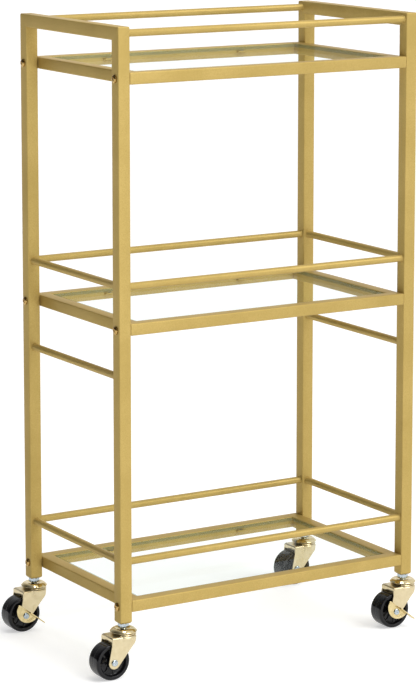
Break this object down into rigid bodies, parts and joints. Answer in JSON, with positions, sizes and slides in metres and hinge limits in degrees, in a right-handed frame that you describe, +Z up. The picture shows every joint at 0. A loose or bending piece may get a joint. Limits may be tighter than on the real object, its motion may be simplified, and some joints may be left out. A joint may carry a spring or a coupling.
{
  "type": "bar cart on wheels",
  "caption": "Gold bar cart on swivel casters: square-tube side frames, three glass shelves with guard rods, side handles, brakes on two wheels.",
  "frame": {"origin": "on the floor, under the middle of the cart's outline", "axes": "+X along the shelves towards the right side frame, +Y from front to back, +Z up"},
  "size_m": [0.5236, 0.3, 0.874],
  "materials": {
    "gold_tube": "satin gold lacquer on steel tube",
    "clear_glass": "clear tempered sheet with ground edges",
    "dark_brass_screw": "dark antique brass plating, polished",
    "zinc_steel": "bright zinc plating",
    "plated_cap": "bright brass plating on pressed steel",
    "plated_fork": "pale satin brass plating on pressed steel",
    "black_wheel": "glossy moulded black"
  },
  "bodies": {
    "frame": {"post_front_left": "gold_tube", "post_back_left": "gold_tube", "top_rail_left": "gold_tube", "guard_middle_left": "gold_tube", "guard_bottom_left": "gold_tube", "handle_left": "gold_tube", "post_front_right": "gold_tube", "post_back_right": "gold_tube", "top_rail_right": "gold_tube", "guard_middle_right": "gold_tube", "guard_bottom_right": "gold_tube", "handle_right": "gold_tube", "guard_top_front": "gold_tube", "guard_top_back": "gold_tube", "guard_middle_front": "gold_tube", "guard_middle_back": "gold_tube", "guard_bottom_front": "gold_tube", "guard_bottom_back": "gold_tube", "shelf_frame_top": "gold_tube", "glass_top": "clear_glass", "screw_top_front_left": "dark_brass_screw", "screw_top_back_left": "dark_brass_screw", "screw_top_front_right": "dark_brass_screw", "screw_top_back_right": "dark_brass_screw", "shelf_frame_middle": "gold_tube", "glass_middle": "clear_glass", "screw_middle_front_left": "dark_brass_screw", "screw_middle_back_left": "dark_brass_screw", "screw_middle_front_right": "dark_brass_screw", "screw_middle_back_right": "dark_brass_screw", "shelf_frame_bottom": "gold_tube", "glass_bottom": "clear_glass", "screw_bottom_front_left": "dark_brass_screw", "screw_bottom_back_left": "dark_brass_screw", "screw_bottom_front_right": "dark_brass_screw", "screw_bottom_back_right": "dark_brass_screw", "caster_stem_front_left": "zinc_steel", "swivel_head_front_left": "plated_cap", "caster_stem_back_left": "zinc_steel", "swivel_head_back_left": "plated_cap", "caster_stem_front_right": "zinc_steel", "swivel_head_front_right": "plated_cap", "caster_stem_back_right": "zinc_steel", "swivel_head_back_right": "plated_cap"},
    "swivel_front_left": {"fork_front_left": "plated_fork", "axle_front_left": "zinc_steel"},
    "wheel_front_left": {"wheel_front_left": "black_wheel"},
    "swivel_back_left": {"fork_back_left": "plated_fork", "axle_back_left": "zinc_steel"},
    "wheel_back_left": {"wheel_back_left": "black_wheel"},
    "brake_back_left": {"brake_lever_back_left": "plated_fork"},
    "swivel_front_right": {"fork_front_right": "plated_fork", "axle_front_right": "zinc_steel"},
    "wheel_front_right": {"wheel_front_right": "black_wheel"},
    "brake_front_right": {"brake_lever_front_right": "plated_fork"},
    "swivel_back_right": {"fork_back_right": "plated_fork", "axle_back_right": "zinc_steel"},
    "wheel_back_right": {"wheel_back_right": "black_wheel"}
  },
  "joints": [
    {"name": "swivel_front_left", "type": "hinge", "parent": "frame", "child": "swivel_front_left", "pos_m": [-0.21475, -0.12445, 0.06], "axis": [0, 0, 1], "continuous": true},
    {"name": "roll_front_left", "type": "hinge", "parent": "swivel_front_left", "child": "wheel_front_left", "pos_m": [-0.23675, -0.12445, 0.025], "axis": [0, 1, 0], "continuous": true},
    {"name": "swivel_back_left", "type": "hinge", "parent": "frame", "child": "swivel_back_left", "pos_m": [-0.21475, 0.13155, 0.06], "axis": [0, 0, 1], "continuous": true},
    {"name": "roll_back_left", "type": "hinge", "parent": "swivel_back_left", "child": "wheel_back_left", "pos_m": [-0.23675, 0.13155, 0.025], "axis": [0, 1, 0], "continuous": true},
    {"name": "brake_back_left", "type": "hinge", "parent": "swivel_back_left", "child": "brake_back_left", "pos_m": [-0.23675, 0.11485, 0.025], "axis": [0, 1, 0], "range_deg": [-24, 8]},
    {"name": "swivel_front_right", "type": "hinge", "parent": "frame", "child": "swivel_front_right", "pos_m": [0.24325, -0.12445, 0.06], "axis": [0, 0, 1], "continuous": true},
    {"name": "roll_front_right", "type": "hinge", "parent": "swivel_front_right", "child": "wheel_front_right", "pos_m": [0.22125, -0.12445, 0.025], "axis": [0, 1, 0], "continuous": true},
    {"name": "brake_front_right", "type": "hinge", "parent": "swivel_front_right", "child": "brake_front_right", "pos_m": [0.22125, -0.14115, 0.025], "axis": [0, 1, 0], "range_deg": [-24, 8]},
    {"name": "swivel_back_right", "type": "hinge", "parent": "frame", "child": "swivel_back_right", "pos_m": [0.24325, 0.13155, 0.06], "axis": [0, 0, 1], "continuous": true},
    {"name": "roll_back_right", "type": "hinge", "parent": "swivel_back_right", "child": "wheel_back_right", "pos_m": [0.22125, 0.13155, 0.025], "axis": [0, 1, 0], "continuous": true}
  ]
}
